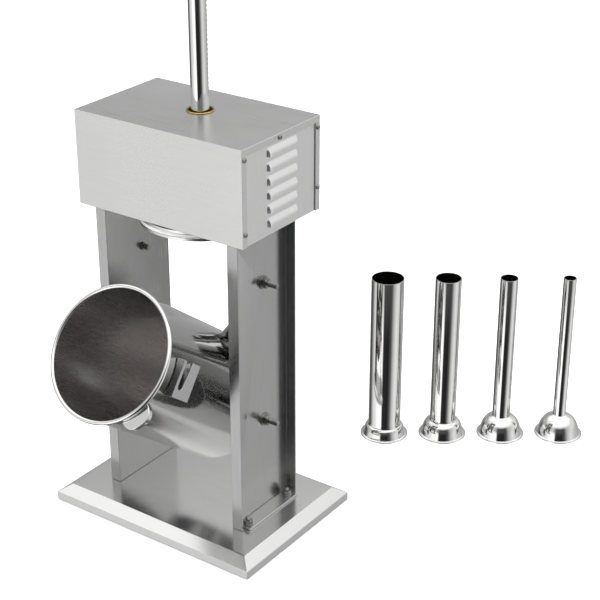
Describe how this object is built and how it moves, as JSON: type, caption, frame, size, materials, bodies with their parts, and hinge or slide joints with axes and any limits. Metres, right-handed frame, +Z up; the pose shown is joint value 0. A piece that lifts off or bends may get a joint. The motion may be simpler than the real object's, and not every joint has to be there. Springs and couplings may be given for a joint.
{
  "type": "sausage stuffer",
  "caption": "Vertical electric sausage stuffer: a cylinder that tilts between side columns, a louvred head driving a toothed piston rod, and loose stuffing tubes.",
  "frame": {"origin": "on the surface the machine and its loose tubes stand on, in the middle of the box round all of them", "axes": "+Z up, -Y towards the side where the cylinder tilts down to be filled, +Y towards the outlet and the controls, +X towards the right column seen from the filling side; the piston rod's axis is at x -0.0794, y -0.0946"},
  "size_m": [0.437, 0.5984, 0.6988],
  "materials": {
    "sheet_steel": "brushed stainless sheet",
    "polished_steel": "polished stainless",
    "plated_steel": "zinc plated",
    "brass": "turned brass",
    "gear_iron": "dark machined iron",
    "rubber": "moulded rubber",
    "black_plastic": "moulded, fine texture",
    "white_plastic": "food-grade, smooth"
  },
  "bodies": {
    "frame": {"base_pan": "sheet_steel", "rubber_foot_left_front": "rubber", "rubber_foot_left_back": "rubber", "rubber_foot_right_front": "rubber", "rubber_foot_right_back": "rubber", "column_left": "sheet_steel", "foot_plate_left": "sheet_steel", "foot_bolt_left_front": "plated_steel", "foot_bolt_left_back": "plated_steel", "pivot_pin_left": "polished_steel", "catch_pin_left": "polished_steel", "pivot_nut_left": "plated_steel", "catch_nut_left": "plated_steel", "column_right": "sheet_steel", "foot_plate_right": "sheet_steel", "foot_bolt_right_front": "plated_steel", "foot_bolt_right_back": "plated_steel", "pivot_pin_right": "polished_steel", "catch_pin_right": "polished_steel", "pivot_nut_right": "plated_steel", "catch_nut_right": "plated_steel", "head_chassis": "plated_steel", "head_cover": "sheet_steel", "rear_cover": "sheet_steel", "lower_rod_bush": "brass", "upper_rod_bush": "brass", "side_panel_left": "sheet_steel", "gear_frame_left": "plated_steel", "shaft_bearing_left": "polished_steel", "side_panel_right": "sheet_steel", "gear_frame_right": "plated_steel", "shaft_bearing_right": "polished_steel", "motor_bracket": "plated_steel", "gear_motor": "gear_iron", "speed_control_unit": "black_plastic", "mains_inlet": "black_plastic"},
    "cylinder": {"cylinder": "polished_steel", "catch_bracket_left": "sheet_steel", "catch_bracket_right": "sheet_steel", "pivot_boss_left": "sheet_steel", "pivot_boss_right": "sheet_steel", "cylinder_pull": "polished_steel", "outlet_spigot": "polished_steel"},
    "outlet_ring_nut": {"outlet_ring_nut": "polished_steel"},
    "piston": {"piston_rod": "polished_steel", "piston": "polished_steel", "piston_seal": "white_plastic", "piston_nut": "polished_steel"},
    "air_valve": {"air_valve": "white_plastic"},
    "pinion_shaft": {"pinion_shaft": "polished_steel", "rack_pinion": "gear_iron", "drive_wheel": "gear_iron"},
    "motor_pinion": {"motor_pinion": "gear_iron"},
    "speed_knob": {"speed_knob": "black_plastic"},
    "power_switch": {"power_switch": "black_plastic"},
    "direction_switch": {"direction_switch": "black_plastic"},
    "stuffing_tube_40mm": {"stuffing_tube_40mm": "polished_steel"},
    "stuffing_tube_32mm": {"stuffing_tube_32mm": "polished_steel"},
    "stuffing_tube_22mm": {"stuffing_tube_22mm": "polished_steel"},
    "stuffing_tube_16mm": {"stuffing_tube_16mm": "polished_steel"}
  },
  "joints": [
    {"name": "cylinder_tilt", "type": "hinge", "parent": "frame", "child": "cylinder", "pos_m": [-0.0794, -0.1011, 0.13195], "axis": [-1, 0, 0], "range_deg": [0, 53.5]},
    {"name": "ring_nut_turn", "type": "hinge", "parent": "cylinder", "child": "outlet_ring_nut", "pos_m": [-0.04108, -0.05305, 0.20672], "axis": [0.4226, 0.5391, 0.7285], "continuous": true},
    {"name": "piston_slide", "type": "slide", "parent": "frame", "child": "piston", "axis": [0, 0, -1], "range_m": [0, 0.065]},
    {"name": "air_valve_lift", "type": "slide", "parent": "piston", "child": "air_valve", "axis": [0, 0, 1], "range_m": [0, 0.002], "stiffness_N_per_m": 200},
    {"name": "pinion_spin", "type": "hinge", "parent": "frame", "child": "pinion_shaft", "pos_m": [-0.0794, -0.07737, 0.41925], "axis": [1, 0, 0], "range_deg": [0, 328]},
    {"name": "motor_spin", "type": "hinge", "parent": "frame", "child": "motor_pinion", "pos_m": [-0.0469, -0.1165, 0.41925], "axis": [-1, 0, 0], "range_deg": [0, 984]},
    {"name": "speed_knob_turn", "type": "hinge", "parent": "frame", "child": "speed_knob", "pos_m": [-0.01765, -0.0335, 0.42575], "axis": [0, -1, 0], "range_deg": [0, 270]},
    {"name": "power_switch_rock", "type": "hinge", "parent": "frame", "child": "power_switch", "pos_m": [-0.0599, -0.0335, 0.42575], "axis": [1, 0, 0], "range_deg": [-10, 10]},
    {"name": "direction_switch_rock", "type": "hinge", "parent": "frame", "child": "direction_switch", "pos_m": [-0.0989, -0.0335, 0.42575], "axis": [1, 0, 0], "range_deg": [-10, 10]},
    {"name": "tube_40mm_lift", "type": "slide", "parent": "frame", "child": "stuffing_tube_40mm", "axis": [0, 0, 1], "range_m": [0, 0.3]},
    {"name": "tube_32mm_lift", "type": "slide", "parent": "frame", "child": "stuffing_tube_32mm", "axis": [0, 0, 1], "range_m": [0, 0.3]},
    {"name": "tube_22mm_lift", "type": "slide", "parent": "frame", "child": "stuffing_tube_22mm", "axis": [0, 0, 1], "range_m": [0, 0.3]},
    {"name": "tube_16mm_lift", "type": "slide", "parent": "frame", "child": "stuffing_tube_16mm", "axis": [0, 0, 1], "range_m": [0, 0.3]}
  ],
  "couplings": [
    {"joint": "pinion_spin", "follows": "piston_slide", "rad_per_m": 87.912},
    {"joint": "motor_spin", "follows": "piston_slide", "rad_per_m": 263.74}
  ]
}
